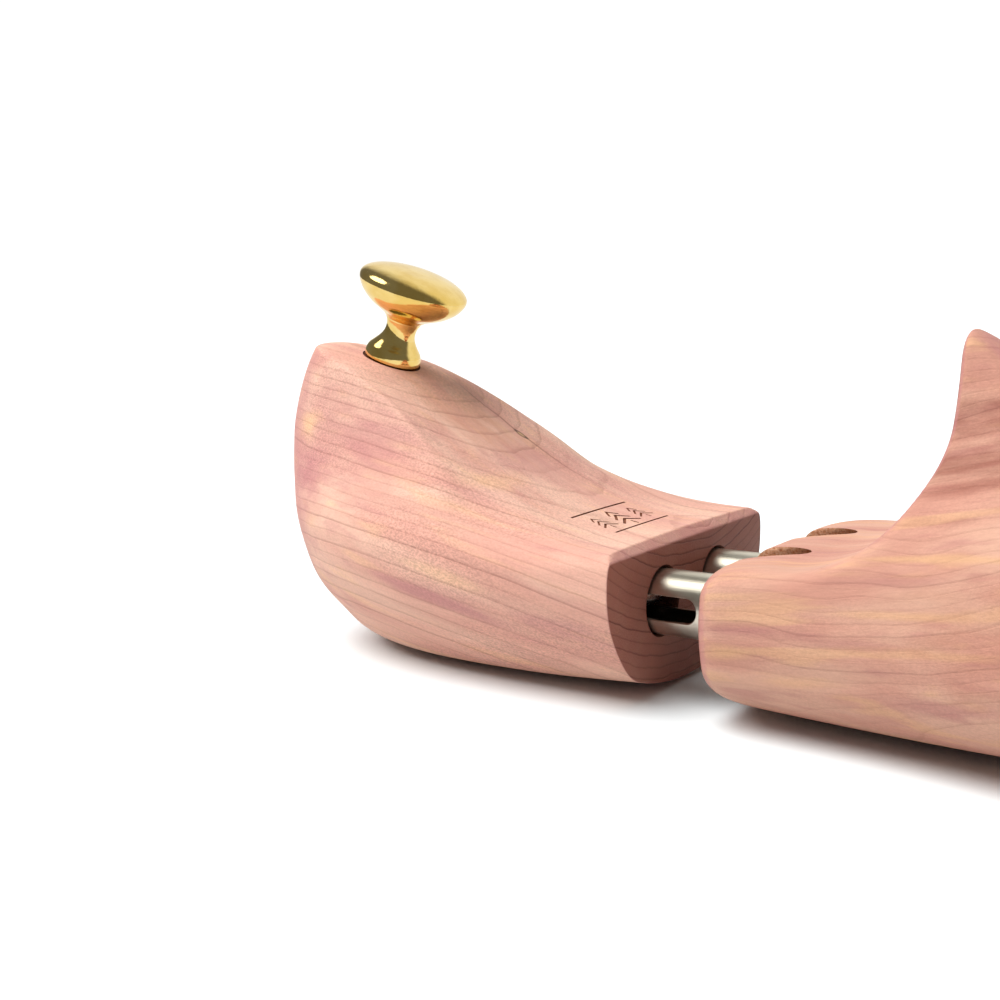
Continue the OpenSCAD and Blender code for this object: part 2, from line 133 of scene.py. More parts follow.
# Heel block, by the distance behind the front face: top, underside, crown and rounding of the top edge
HEEL_TOP = [[0, 30.6], [8, 31.2], [16, 32.6], [24, 35], [32, 38.5], [40, 42.6], [48, 47.4],
            [56, 52.6], [64, 57.2], [72.4, 61.1], [80, 63], [86, 64], [92, 63.8], [100, 62.8]]
HEEL_SOLE = [[0, 1.1], [20, -0.1], [40, -0.35], [55, 0.1], [70, 1.5], [85, 5], [100, 10]]
HEEL_CROWN = [[0, 0.0004], [30, 0.001], [45, 0.0022], [60, 0.0045], [72, 0.0085], [83, 0.0125],
              [95, 0.014]]
HEEL_ROUND = [[0, 2.8], [6, 3.4], [20, 7.5], [34, 10], [44, 2.5], [50, 0.8], [100, 0.8]]
heel_chamfer = 1.8
# Rounding of the heel's edges: underside, chamfer and front face
heel_sole_round, chamfer_round, face_round = 2.5, 0.15, 0.3
# What brings the value of the side close to a true distance
heel_side_scale, fore_side_scale = 0.85, 0.8
# Crosswise curve of the undersides, which y squared is divided by
heel_sole_bend, fore_sole_bend = 140, 170
# Forepart, by the distance ahead of its rear face: half widths, ridge and underside
FORE_LATERAL = [[0, 33], [15, 34.4], [35, 37], [55, 41.5], [73, 45.6], [85, 46.6], [100, 45.8],
                [120, 42.4], [140, 37.4], [155, 33.5], [173, 29]]
FORE_MEDIAL = [[0, 33], [15, 34], [35, 35.5], [55, 39], [73, 43], [88, 44.4], [103, 43.8],
               [120, 41.6], [140, 37.8], [155, 34.5], [173, 30]]
FORE_TOP = [[0, 73], [30, 72.8], [37, 72.4], [43, 70.7], [51, 65.6], [63, 58.2], [77, 51.4],
            [95, 44.6], [115, 38.6], [135, 33.8], [153, 29.8], [165, 26.4], [173, 23]]
FORE_SOLE = [[0, 1.2], [15, 0.4], [40, -0.3], [73, -0.4], [97, 0.2], [123, 2.6], [148, 6.8],
             [173, 12]]
# Instep section: [share of the height, share of the half width]
CONE = [[-0.1, 0.52], [0, 0.68], [0.03, 0.77], [0.09, 0.88], [0.18, 0.965], [0.29, 1],
        [0.42, 0.955], [0.53, 0.87], [0.62, 0.75], [0.7, 0.585], [0.78, 0.47], [0.88, 0.405],
        [1, 0.375], [1.2, 0.36]]
cone_h = 70.2
ridge_y, ridge_fall = -9.0, 0.25
scoop_r, scoop_in, scoop_z = 25.0, 14.8, 55.7
shelf_fall = 0.01
# Rounding of the scoop's rim, at the rear and from the notches forward
rim_rear, rim_front, rim_turn = 5, 2, 27
# Where the instep's section turns into the dome of the ball and toe, and over what length
dome_from, dome_over = 35, 50
# The dome: share of its height where it is widest, and the powers of its upper and lower curves
dome_wide, dome_power = 0.36, 2.3
tuck, tuck_power, tuck_end = 0.2, 2.2, 1.3
# Plan of the toe
toe_start, toe_reach = 134.8, 38.0
toe_power, toe_scale, toe_spare = 2.6, 30, 2
deep_inside = -50
# Rounding of the crown and underside, of the rear face, and of the toe
fore_round, rear_round, toe_round = 5, 6, 1.5

# ---------------- fineness of the meshes
ray_max = 90.0
halvings = 30
block_rays, side_rays = 460, 400
first_ring = 0.02       # distance of a block's first section from its front or rear face
nose_from = 134
sharp_edge = math.radians(32)


# ---------------- shape functions
def curve(knots, t):
    """A smooth curve through knots [[t, value], ...], level beyond its ends."""
    knots = np.array(knots, float)
    at, value = knots[:, 0], knots[:, 1]
    last = len(at) - 1
    index = np.arange(last + 1)
    before, after = np.maximum(index - 1, 0), np.minimum(index + 1, last)
    slope = (value[after] - value[before]) / (at[after] - at[before])
    t = np.clip(t, at[0], at[-1])
    i = np.clip(np.searchsorted(at, t, side="right") - 1, 0, last - 1)
    h = at[i + 1] - at[i]
    u = (t - at[i]) / h
    return ((2 * u**3 - 3 * u**2 + 1) * value[i] + (u**3 - 2 * u**2 + u) * h * slope[i]
            + (3 * u**2 - 2 * u**3) * value[i + 1] + (u**3 - u**2) * h * slope[i + 1])


def round_max(a, b, r):
    """The larger of two distances, rounded where they meet."""
    h = np.maximum(r - np.abs(a - b), 0) / r
    return np.maximum(a, b) + h * h * r / 4


def smooth_step(share):
    """Eases a share of 0 to 1 in and out."""
    share = np.clip(share, 0, 1)
    return share * share * (3 - 2 * share)


def heel_field(x, y, z):
    """Negative inside the heel block."""
    d = face_x - x
    half = curve(HEEL_HALF, z)
    back = (np.maximum(d, 0) / curve(HEEL_BACK, z)) ** 4
    side = (np.sqrt((y / half) ** 2 + back) - 1) * half * heel_side_scale
    top = z - curve(HEEL_TOP, d) + curve(HEEL_CROWN, d) * y * y
    body = round_max(side, top, curve(HEEL_ROUND, d))
    body = round_max(body, curve(HEEL_SOLE, d) + y * y / heel_sole_bend - z, heel_sole_round)
    slant = (heel_chamfer - d + z - curve(HEEL_TOP, heel_chamfer)) / math.sqrt(2)
    body = round_max(body, slant, chamfer_round)
    return np.maximum(round_max(body, -d, face_round), -z)


def fore_dome(z, low, top):
    """Share of the half width at a height, for the ball and toe."""
    wide = low + (top - low) * dome_wide
    up = np.clip((z - wide) / (top - wide), 0, 1)
    down = np.clip((wide - z) / (wide - low), 0, tuck_end)
    return np.where(z > wide, np.sqrt(1 - up**dome_power), 1 - tuck * down**tuck_power)


def scoop_field(a, z):
    """Negative in the hollow behind the instep."""
    ramp = scoop_z - scoop_r - (scoop_in - a) ** 2 * shelf_fall - z
    wall = a - scoop_in - scoop_r
    arc = np.hypot(a - scoop_in, z - scoop_z) - scoop_r
    return np.where(a < scoop_in, ramp, np.where(z > scoop_z, wall, arc))


def fore_field(x, y, z):
    """Negative inside the whole forepart, before its toe is split."""
    a = x - fore_x
    top, low = curve(FORE_TOP, a), curve(FORE_SOLE, a)
    half = np.where(y < 0, curve(FORE_LATERAL, a), curve(FORE_MEDIAL, a))
    mix = smooth_step((a - dome_from) / dome_over)
    share = curve(CONE, z / cone_h) * (1 - mix) + fore_dome(z, low, top) * mix
    fall = ridge_fall * np.maximum(y - ridge_y, 0) * (1 - mix)
    body = round_max((np.abs(y) - half * share) * fore_side_scale, z - top + fall, fore_round)
    body = round_max(body, -a, rear_round)
    ahead = np.maximum(a - toe_start, 0) / toe_reach
    plan = ahead**toe_power + (y / (half + toe_spare)) ** 2 - 1
    body = round_max(body, np.where(a < toe_start, deep_inside, toe_scale * plan), toe_round)
    rim = rim_front + (rim_rear - rim_front) * np.maximum(1 - a / rim_turn, 0)
    body = round_max(body, -scoop_field(a, z), rim)
    body = round_max(body, low + y * y / fore_sole_bend - z, fore_round)
    return np.maximum(body, -z)


def split_field(x, y):
    """Negative on the side piece's side of the saw cut, whose corner is an arc."""
    across = split_x + split_r - x
    out = y - (split_y - split_r)
    corner = np.hypot(np.maximum(across, 0), np.maximum(out, 0)) - split_r
    return np.where((across > 0) & (out > 0), corner, np.maximum(across, out) - split_r)


def main_field(x, y, z):
    """The forepart without its side piece."""
    return round_max(fore_field(x, y, z), kerf - split_field(x, y), saw_edge)


def side_field(x, y, z):
    """The side piece, pushed out by its springs."""
    rest = y + toe_gap
    return round_max(fore_field(x, rest, z), split_field(x, rest), saw_edge)


# ---------------- mesh building
def new_object(name, data):
    made = bpy.data.objects.new(name, data)
    bpy.context.scene.collection.objects.link(made)
    return made


def mesh_object(name, points, faces):
    """A mesh object from points in millimetres, its normals facing out."""
    mesh = bpy.data.meshes.new(name)
    mesh.from_pydata((np.asarray(points, float) * MM).tolist(), [], faces)
    shape = bmesh.new()
    shape.from_mesh(mesh)
    bmesh.ops.recalc_face_normals(shape, faces=shape.faces)
    shape.to_mesh(mesh)
    shape.free()
    mesh.shade_smooth()
    return new_object(name, mesh)


def loft(name, rings):
    """Joins rings of equal length into one skin with flat ends."""
    rings = np.asarray(rings, float)
    count, size = rings.shape[:2]
    j = np.arange(size)
    k = (j + 1) % size
    faces = []
    for i in range(count - 1):
        a, b = i * size, (i + 1) * size
        faces += np.stack([a + j, b + j, b + k, a + k], 1).tolist()
    faces.append(j.tolist())
    faces.append((j[::-1] + (count - 1) * size).tolist())
    return mesh_object(name, rings.reshape(-1, 3), faces)


def lathe(name, profile, sides=96, axis="Z", place=(0, 0, 0)):
    """Turns a profile of (radius, height) about an axis. One that ends off the axis is a closed loop."""
    profile = np.array(profile, float)
    on_axis = not profile[[0, -1], 0].any()
    body = profile[1:-1] if on_axis else profile
    angle = np.linspace(0, 2 * math.pi, sides, endpoint=False)
    rings = np.stack([body[:, :1] * np.cos(angle), body[:, :1] * np.sin(angle),
                      body[:, 1:] + 0 * angle], 2)
    points = rings.reshape(-1, 3)
    j = np.arange(sides)
    k = (j + 1) % sides
    faces = []
    spans = len(body) - 1 if on_axis else len(body)
    for i in range(spans):
        a, b = i * sides, (i + 1) % len(body) * sides
        faces += np.stack([a + j, a + k, b + k, b + j], 1).tolist()
    if on_axis:
        first, last = len(points), len(points) + 1
        points = np.vstack([points, [0, 0, profile[0, 1]], [0, 0, profile[-1, 1]]])
        end = (len(body) - 1) * sides
        faces += [[first, int(q), int(p)] for p, q in zip(j, k)]
        faces += [[last, int(end + p), int(end + q)] for p, q in zip(j, k)]
    return mesh_object(name, points[:, AXES[axis]] + np.array(place, float), faces)


def ring_points(field, stations, centre_y, centre_z, rays):
    """Where rays from each cross-section's centre leave the body, found by halving."""
    angle = np.linspace(-math.pi, math.pi, rays, endpoint=False)
    x = stations[:, None] + 0 * angle
    y0, z0 = centre_y[:, None], centre_z[:, None]
    near, far = np.zeros_like(x), np.full_like(x, ray_max)
    for _ in range(halvings):
        half = (near + far) / 2
        inside = field(x, y0 + half * np.sin(angle), z0 - half * np.cos(angle)) < 0
        near, far = np.where(inside, half, near), np.where(inside, far, half)
    return np.stack([x, y0 + near * np.sin(angle), z0 - near * np.cos(angle)], 2)


def rod(name, radius, start, end, axis, place, sides=64, ease=0.3):
    """A turned pin with eased ends, from start to end along its axis."""
    nick = ease * 0.3       # about where a round edge passes its corner
    return lathe(name, [(0, start), (radius - ease, start), (radius - nick, start + nick),
                        (radius, start + ease), (radius, end - ease), (radius - nick, end - nick),
                        (radius - ease, end), (0, end)], sides, axis, place)


def bore(name, radius, start, mouth, axis, place, flare=0.3, reach=4.0):
    """A cutter for a round bore with an eased mouth at one end, which it passes by its reach."""
    way = 1 if mouth > start else -1
    beyond = mouth + way * reach
    return lathe(name, [(0, start), (radius, start), (radius, mouth - way * flare),
                        (radius + flare, mouth), (radius + flare + reach, beyond), (0, beyond)],
                 axis=axis, place=place)


def cut(target, cutters):
    """Cuts the target with each cutter, whose material goes onto the new faces."""
    for cutter in cutters:
        step = target.modifiers.new("cut", "BOOLEAN")
        step.operation = "DIFFERENCE"
        step.object = cutter
        step.solver = "EXACT"
        step.material_mode = "TRANSFER"
    bpy.context.view_layer.update()
    shape = bpy.data.meshes.new_from_object(target.evaluated_get(bpy.context.evaluated_depsgraph_get()))
    target.modifiers.clear()
    target.data = shape
    for cutter in cutters:
        bpy.data.objects.remove(cutter)
    target.data.shade_smooth()
    target.data.set_sharp_from_angle(angle=sharp_edge)
    return target


def paint(piece, material):
    piece.data.materials.clear()
    piece.data.materials.append(material)
    return piece


def fit(piece, body, slot, *nodes):
    """The piece moves with a body and stands for CAD nodes. The slot is not used."""
    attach(piece, body)
    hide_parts(*nodes)
    return piece


# ---------------- materials
def srgb(red, green, blue):
    """Linear colour from display values of 0 to 255."""
    share = [c / 255 for c in (red, green, blue)]
    return tuple(c / 12.92 if c <= 0.04045 else ((c + 0.055) / 1.055) ** 2.4 for c in share) + (1.0,)


def feed(tree, socket, value):
    """Gives a socket another node's output or a plain value."""
    if isinstance(value, bpy.types.NodeSocket):
        tree.links.new(value, socket)
    else:
        socket.default_value = value


def add_node(tree, kind, inputs=(), **settings):
    made = tree.nodes.new("ShaderNode" + kind)
    for name, value in settings.items():
        setattr(made, name, value)
    for socket, value in dict(inputs).items():
        feed(tree, made.inputs[socket], value)
    return made


class Look:
    """A node material being built. Every input may be another node's output or a plain value."""

    def __init__(self, name, **fixed):
        self.material = bpy.data.materials.new(name)
        self.material.use_nodes = True
        self.tree = self.material.node_tree
        self.shader = self.tree.nodes["Principled BSDF"]
        for socket, value in fixed.items():
            self.shader.inputs[socket.replace("_", " ")].default_value = value

    def node(self, kind, inputs=(), **settings):
        return add_node(self.tree, kind, inputs, **settings)

    def math(self, operation, *values):
        return self.node("Math", enumerate(values), operation=operation).outputs[0]

    def times(self, a, b):
        return self.math("MULTIPLY", a, b)

    def scaled(self, value, by, plus):
        return self.math("MULTIPLY_ADD", value, by, plus)

    def vector(self, operation, *values):
        made = self.node("VectorMath", enumerate(values), operation=operation)
        return made.outputs["Value" if operation in ("DOT_PRODUCT", "LENGTH") else "Vector"]

    def place(self):
        return self.node("TexCoord").outputs["Object"]

    def place_mm(self):
        return self.vector("MULTIPLY", self.place(), (1 / MM, 1 / MM, 1 / MM))

    def facing(self):
        return self.node("TexCoord").outputs["Normal"]

    def join(self, x, y, z):
        return self.node("CombineXYZ", enumerate((x, y, z))).outputs[0]

    def shaded(self, colour, value):
        """The colour made darker or lighter by a value."""
        return self.mix(1.0, colour, self.join(value, value, value), "MULTIPLY")

    def noise(self, where, scale=1.0, detail=2.0, roughness=0.5, colour=False):
        made = self.node("TexNoise", {"Vector": where, "Scale": scale, "Detail": detail,
                                      "Roughness": roughness})
        return made.outputs["Color" if colour else "Fac"]

    def spread(self, value, low, high, to_low=0.0, to_high=1.0):
        made = self.node("MapRange", {"Value": value, "From Min": low, "From Max": high,
                                      "To Min": to_low, "To Max": to_high},
                         interpolation_type="SMOOTHSTEP")
        return made.outputs["Result"]

    def mix(self, factor, a, b, blend="MIX"):
        made = self.node("Mix", {0: factor, 6: a, 7: b}, data_type="RGBA", blend_type=blend)
        return made.outputs[2]

    def bump(self, height, distance):
        inputs = {"Height": height, "Distance": distance, "Strength": 1.0}
        return self.node("Bump", inputs).outputs["Normal"]

    def finish(self, colour, roughness, normal=None):
        for socket, value in (("Base Color", colour), ("Roughness", roughness), ("Normal", normal)):
            if value is not None:
                feed(self.tree, self.shader.inputs[socket], value)
        return self.material


PALE = srgb(230, 186, 166)
SALMON = srgb(217, 163, 147)
MAUVE = srgb(190, 130, 130)
CREAM = srgb(242, 198, 152)
RING = srgb(128, 74, 62)
END, END_RING = srgb(142, 86, 64), srgb(70, 38, 30)
KNOT_LINE, KNOT_HEART, KNOT_RIM = srgb(150, 98, 88), srgb(196, 160, 120), srgb(92, 66, 52)
FORE_STAIN = (0.8, 0.755, 0.72)


def grain_frame(look, pith, along):
    """Millimetres from the pith: along the trunk, and across it in two directions."""
    axis = Vector(along).normalized()
    up = axis.cross(Vector((0, 1, 0))).normalized()
    across = up.cross(axis).normalized()
    offset = look.vector("SUBTRACT", look.place(), tuple(Vector(pith) * MM))
    axes = (axis, across, up)
    return [look.math("DIVIDE", look.vector("DOT_PRODUCT", offset, tuple(v)), MM) for v in axes], axes


def stretched(look, spot, along, across, seed):
    """Coordinates for a noise whose features are this many millimetres along and across the grain."""
    t, u, v = spot
    return look.join(look.scaled(t, 1 / along, seed),
                     look.scaled(u, 1 / across, seed * 0.7),
                     look.scaled(v, 1 / across, seed * 1.3))


def cedar(name, pith, along, seed, ring=2.1, sway=4.0, lines=0.45, fuzz=0.5, streaks=0.4,
          stain=(1.0, 1.0, 1.0), wave=110, patches=(), knots=()):
    """Red cedar as a solid texture: growth rings round a pith, colour streaks, fibres and end grain."""
    look = Look(name, Specular_IOR_Level=0.25)
    spot, axes = grain_frame(look, pith, along)
    u, v = spot[1:]
    # the rings wander with slow and quick noise
    slow = look.node("SeparateColor", {0: look.noise(stretched(look, spot, wave, 34, seed), colour=True)})
    wavy = look.noise(stretched(look, spot, 22, 6, seed + 3))
    u2 = look.scaled(slow.outputs[0], sway, look.math("SUBTRACT", u, sway / 2))
    v2 = look.scaled(slow.outputs[1], sway, look.math("SUBTRACT", v, sway / 2))
    radius = look.vector("LENGTH", look.join(u2, v2, 0.0))
    radius = look.scaled(wavy, 0.9, radius)
    phase = look.scaled(radius, 1 / ring, seed)
    count = look.math("FLOOR", phase)
    part = look.math("SUBTRACT", phase, count)
    luck = look.node("TexWhiteNoise", {"W": count}, noise_dimensions="1D")
    chance = look.node("SeparateColor", {0: luck.outputs["Color"]})
    late = look.times(look.spread(part, 0.74, 0.96), look.spread(part, 1.0, 0.965))
    late = look.times(late, look.scaled(chance.outputs[0], 0.7, 0.3))
    # broad colour: pale wood, salmon, then cream and mauve streaks along the grain
    broad = look.noise(stretched(look, spot, 46, 9, seed + 7), detail=3)
    bands = look.noise(stretched(look, spot, 64, 3.4, seed + 17), detail=2)
    colour = look.mix(look.spread(broad, 0.35, 0.65), SALMON, PALE)
    colour = look.mix(look.times(look.spread(bands, 0.45, 0.3), streaks), colour, MAUVE)
    colour = look.mix(look.times(look.spread(bands, 0.54, 0.7), streaks), colour, CREAM)
    tone = look.scaled(chance.outputs[1], 0.09, 0.95)
    colour = look.shaded(colour, tone)
    ragged = look.noise(stretched(look, spot, 20, 3.5, seed + 11), detail=3)
    colour = patched(look, colour, spot, axes, pith, look.scaled(ragged, 1.5, -0.75), patches)
    colour = look.mix(look.times(late, lines), colour, RING)
    # fibres along the grain, and the sanding fuzz, which gathers in places
    fibre = look.noise(stretched(look, spot, 5.0, 0.42, seed + 23), detail=3, roughness=0.6)
    speck = look.noise(stretched(look, spot, 0.55, 0.33, seed + 29), detail=2, roughness=0.6)
    worn = look.noise(stretched(look, spot, 40, 15, seed + 31))
    rough_spots = look.times(look.spread(worn, 0.35, 0.6, 0.3, 1.0), fuzz)
    shade = look.scaled(fibre, 0.24, 0.88)
    grains = look.times(look.spread(speck, 0.34, 0.66, -0.15, 0.13), rough_spots)
    shade = look.times(shade, look.math("ADD", grains, 1.0))
    colour = look.shaded(colour, shade)
    colour = look.mix(1.0, colour, (*stain, 1.0), "MULTIPLY")
    # slanting cuts across the fibres are pinker, and their ends darker and browner
    straight = look.math("ABSOLUTE", look.vector("DOT_PRODUCT", look.facing(), tuple(axes[0])))
    colour = look.mix(look.spread(straight, 0.42, 0.6, 0.0, 0.5), colour, MAUVE)
    colour = look.mix(look.spread(straight, 0.72, 0.97, 0.0, 0.7), colour, END)
    ring_ends = look.times(late, look.spread(straight, 0.8, 0.97, 0.0, 0.6))
    colour = look.mix(ring_ends, colour, END_RING)
    for centre, way in knots:
        colour = knot(look, colour, centre, way)
    # the fibres and the fuzz stand up, and the dark rings lie a little lower
    height = look.scaled(fibre, 0.5, look.times(speck, rough_spots))
    height = look.math("SUBTRACT", height, look.times(late, 0.5))
    rough = look.scaled(fibre, 0.15, 0.5)
    return look.finish(colour, rough, look.bump(height, 0.00014))


def patched(look, colour, spot, axes, pith, ragged, patches):
    """Lays soft patches of colour along the grain, painted shade among them on the forepart: (centre, half
    length, half width, tint, strength).
    """
    deep = 16.0
    for centre, long, wide, tint, strength in patches:
        offset = Vector(centre) - Vector(pith)
        parts = [look.scaled(value, 1 / size, -offset.dot(way) / size)
                 for value, way, size in zip(spot, axes, (long, deep, wide))]
        reach = look.math("ADD", look.vector("LENGTH", look.join(*parts)), ragged)
        colour = look.mix(look.spread(reach, 1.0, 0.1, 0.0, strength), colour, tint)
    return colour


def knot(look, colour, centre, way):
    """A pin knot with a pale heart and a dark rim, and the dark streak that runs through it."""
    offset = look.vector("SUBTRACT", look.place(), tuple(Vector(centre) * MM))
    axis = Vector(way).normalized()
    side = Vector((0, 1, 0))
    run = look.math("DIVIDE", look.vector("DOT_PRODUCT", offset, tuple(axis)), MM)
    wander = look.noise(look.join(look.times(run, 0.12), 3.1, 0.0))
    off = look.math("DIVIDE", look.vector("DOT_PRODUCT", offset, tuple(side)), MM)
    off = look.math("ADD", off, look.times(look.math("SUBTRACT", wander, 0.5), 2.6))
    oval = look.vector("LENGTH", look.join(look.times(run, 0.42), off, 0.0))
    rim = look.times(look.spread(oval, 0.35, 0.55), look.spread(oval, 0.95, 0.7))
    heart = look.spread(oval, 0.5, 0.3)
    line = look.spread(look.math("ABSOLUTE", off), 0.55, 0.0)
    line = look.times(line, look.spread(look.math("ABSOLUTE", run), 30.0, 2.0, 0.0, 0.75))
    colour = look.mix(line, colour, KNOT_LINE)
    colour = look.mix(heart, colour, KNOT_HEART)
    return look.mix(look.times(rim, 0.9), colour, KNOT_RIM)


def drilled_wood(name, dark, light, fluff):
    """The rough wall of a drilled hole, with turning marks round it and fibres standing out. Its colours
    come from the caller: darkened as painted shade in the heel's bores, lightened as painted light in the
    forepart's holes and notches.
    """
    look = Look(name, Specular_IOR_Level=0.2)
    place = look.place_mm()
    marks = look.noise(look.vector("MULTIPLY", place, (2.2, 0.35, 0.35)), detail=3, roughness=0.6)
    fuzz = look.noise(place, 1.8, detail=4, roughness=0.7)
    colour = look.mix(look.spread(marks, 0.35, 0.7), dark, light)
    colour = look.mix(look.spread(fuzz, 0.35, 0.7), colour, fluff)
    height = look.math("ADD", marks, fuzz)
    return look.finish(colour, look.scaled(fuzz, 0.2, 0.65), look.bump(height, 0.0003))


def burnt_wood():
    """The scorched bottom of the engraved mark."""
    look = Look("burnt_mark", Specular_IOR_Level=0.15)
    place = look.place_mm()
    char = look.noise(place, 2.4, detail=4, roughness=0.65)
    colour = look.mix(look.spread(char, 0.3, 0.7), srgb(104, 62, 46), srgb(158, 106, 84))
    return look.finish(colour, look.scaled(char, 0.2, 0.7), look.bump(char, 0.0001))


def brass():
    """Polished, lacquered brass, a little uneven in its tone and gloss."""
    look = Look("polished_brass", Metallic=1.0)
    place = look.place_mm()
    tone = look.noise(place, 0.16, detail=3, roughness=0.55)
    fine = look.noise(place, 1.1, detail=3, roughness=0.6)
    colour = look.mix(look.spread(tone, 0.35, 0.65), srgb(234, 200, 112), srgb(246, 218, 142))
    rough = look.scaled(fine, 0.09, 0.05)
    height = look.scaled(fine, 0.3, look.times(tone, 1.4))
    return look.finish(colour, rough, look.bump(height, 0.00005))


def drawn_metal(name, light, dark, rough, lines, bore_r=None):
    """Bright drawn metal: fine lines along the draw, soft smears and changes of gloss.

    Inside a bore of this radius round the tubes' axes it is duller, and its colour is darkened to a
    brownish grey as painted shade."""
    look = Look(name, Metallic=1.0)
    place = look.place_mm()
    drawn = look.noise(look.vector("MULTIPLY", place, lines), detail=4, roughness=0.6)
    smear = look.noise(place, 0.12, detail=3, roughness=0.6)
    colour = look.mix(look.spread(smear, 0.3, 0.7), dark, light)
    gloss = look.scaled(drawn, 0.12, rough)
    gloss = look.scaled(smear, 0.06, gloss)
    if bore_r:
        y, z = look.node("SeparateXYZ", {0: place}).outputs[1:]
        aside = look.math("SUBTRACT", look.math("ABSOLUTE", y), tube_y)
        off = look.vector("LENGTH", look.join(aside, look.math("SUBTRACT", z, tube_z), 0.0))
        inside = look.spread(off, bore_r + 0.5, bore_r + 0.2)
        # painted shade: the inner wall's colour is darkened to a brownish grey; it is also made rougher
        colour = look.mix(inside, colour, srgb(74, 68, 60))
        gloss = look.math("MAXIMUM", gloss, look.times(inside, 0.5))
    return look.finish(colour, gloss, look.bump(drawn, 0.00002))


def moulded_nylon():
    look = Look("black_nylon", Specular_IOR_Level=0.4)
    place = look.place_mm()
    grain = look.noise(place, 2.0, detail=3)
    flow = look.noise(place, 0.3, detail=2)
    colour = look.mix(look.spread(flow, 0.3, 0.7), srgb(34, 34, 36), srgb(52, 52, 54))
    return look.finish(colour, look.scaled(grain, 0.2, 0.35), look.bump(grain, 0.00003))


# ---------------- the cedar blocks
def arc_steps(count, first=0.0):
    """Shares from 0 to 1 that lie close together at the start, as on an arc."""
    return 1 - np.cos(np.linspace(first, math.pi / 2, count))


def heel_stations():
    """Cross-sections of the heel: close together at its face, at the chamfer and at its back."""
    back_ring = 0.06
    face = 0.7 * arc_steps(8, 0.3)
    chamfer = heel_chamfer + np.linspace(-0.6, 0.6, 9)
    back = (heel_len - back_ring) * np.sin(np.linspace(0, math.pi / 2, 230))
    return face_x - np.unique(np.concatenate([[first_ring], face, chamfer, back[1:]]))


def knob_matrix():
    """From the knob's own upright frame to the part's, in millimetres."""
    foot = float(curve(HEEL_TOP, np.array(knob_back)))
    turn = Matrix.Rotation(knob_lean, 4, "Y")
    sink = Matrix.Translation((0, 0, -knob_sink))
    return Matrix.Translation((face_x - knob_back, 0, foot)) @ turn @ sink


def stand(piece):
    """Moves a piece from the knob's upright frame into place, by its mesh."""
    matrix = knob_matrix()
    matrix.translation = matrix.translation * MM
    piece.data.transform(matrix)
    return piece


def mark_strokes():
    """The engraved mark: three plain conifers between two lines. Each stroke is an outline (across, up)."""
    wide, long, gap = 0.45, 11.0, 4.9
    strokes = [[(-long, s * gap - wide / 2), (long, s * gap - wide / 2),
                (long, s * gap + wide / 2), (-long, s * gap + wide / 2)] for s in (-1, 1)]
    for place, size in ((-7.4, 0.8), (0, 1.05), (7.4, 0.8)):
        for base, reach in ((-2.4, 3.4), (-0.4, 2.7), (1.6, 1.9)):
            for s in (-1, 1):
                boughs = [(0, base + 1.9), (s * reach, base),
                          (s * (reach - 0.2), base - 0.5), (0, base + 1.2)]
                strokes.append([(place + size * across, size * up) for across, up in boughs])
        trunk = [(-0.25, -3.9), (0.25, -3.9), (0.25, -2.2), (-0.25, -2.2)]
        strokes.append([(place + size * across, size * up) for across, up in trunk])
    return strokes


def heel_top_at(x, y):
    """Height of the heel's top surface."""
    d = np.array(face_x - x)
    return float(curve(HEEL_TOP, d) - curve(HEEL_CROWN, d) * y * y)


def mark_cutters(material):
    """Thin prisms that sink each stroke a quarter of a millimetre into the heel's flat front."""
    centre_x, centre_y = 16.5, -4.25
    deep, above = 0.26, 2
    deeper = 0.001          # from one stroke to the next, so that no two floors share a plane
    cutters = []
    for n, outline in enumerate(mark_strokes()):
        points = []
        for across, up in outline:
            x, y = centre_x - up, centre_y + across
            points.append((x, y, heel_top_at(x, y)))
        rings = [[(x, y, z + shift) for x, y, z in points] for shift in (-deep - deeper * n, above)]
        cutters.append(paint(loft("mark", rings), material))
    return cutters


def drilled(block, cutters, walls, others=()):
    """Drills the block, whose new walls take their own material. Other cutters keep theirs."""
    return cut(block, [paint(cutter, walls) for cutter in cutters] + list(others))


def build_heel(wood, walls, burnt):
    stations = heel_stations()
    back = face_x - stations
    rings = ring_points(heel_field, stations, 0 * stations,
                        np.interp(back, [0, 60, 86, 97], [15, 30, 44, 46.5]), block_rays)
    block = paint(loft("cedar_heel", rings), wood)
    cutters = [bore("bore", bore_r, heel_bore_end, face_x, "X", (0, side * tube_y, tube_z))
               for side in (-1, 1)]
    cutters.append(bore("pin hole", cross_r + snug, *cross_hole, "Y", (cross_x, 0, tube_z), 0.15))
    hole_r, above = stud_r + stud_gap, 5
    cutters.append(stand(lathe("stud hole", [(0, -stud_depth), (hole_r, -stud_depth),
                                             (hole_r, above), (0, above)], 48)))
    seat_r, seat_top_r, seat_top = 6.45, 6.6, 12
    cutters.append(stand(lathe("knob seat", [(0, 0), (seat_r, 0), (seat_top_r, seat_top),
                                             (0, seat_top)])))
    return drilled(block, cutters, walls, mark_cutters(burnt))


def fore_stations(first, last):
    """Cross-sections of the forepart: close together at its ends, the instep's crest and the saw cut."""
    saw = split_x - fore_x - kerf
    rear = first_ring + rear_round * arc_steps(26)
    plain = np.arange(6.4, nose_from, 0.55)
    crest = scoop_in + scoop_r + np.linspace(-1.6, 1.6, 60)
    wall = saw + np.linspace(-1.2, 0.6, 50)
    arc = saw + split_r * arc_steps(30)
    nose = nose_from + (fore_len - last_ring - nose_from) * np.sin(np.linspace(0, math.pi / 2, 90))
    every = np.unique(np.round(np.concatenate([rear, plain, crest, wall, arc, nose]), 4))
    return fore_x + every[(every >= first) & (every <= last)]


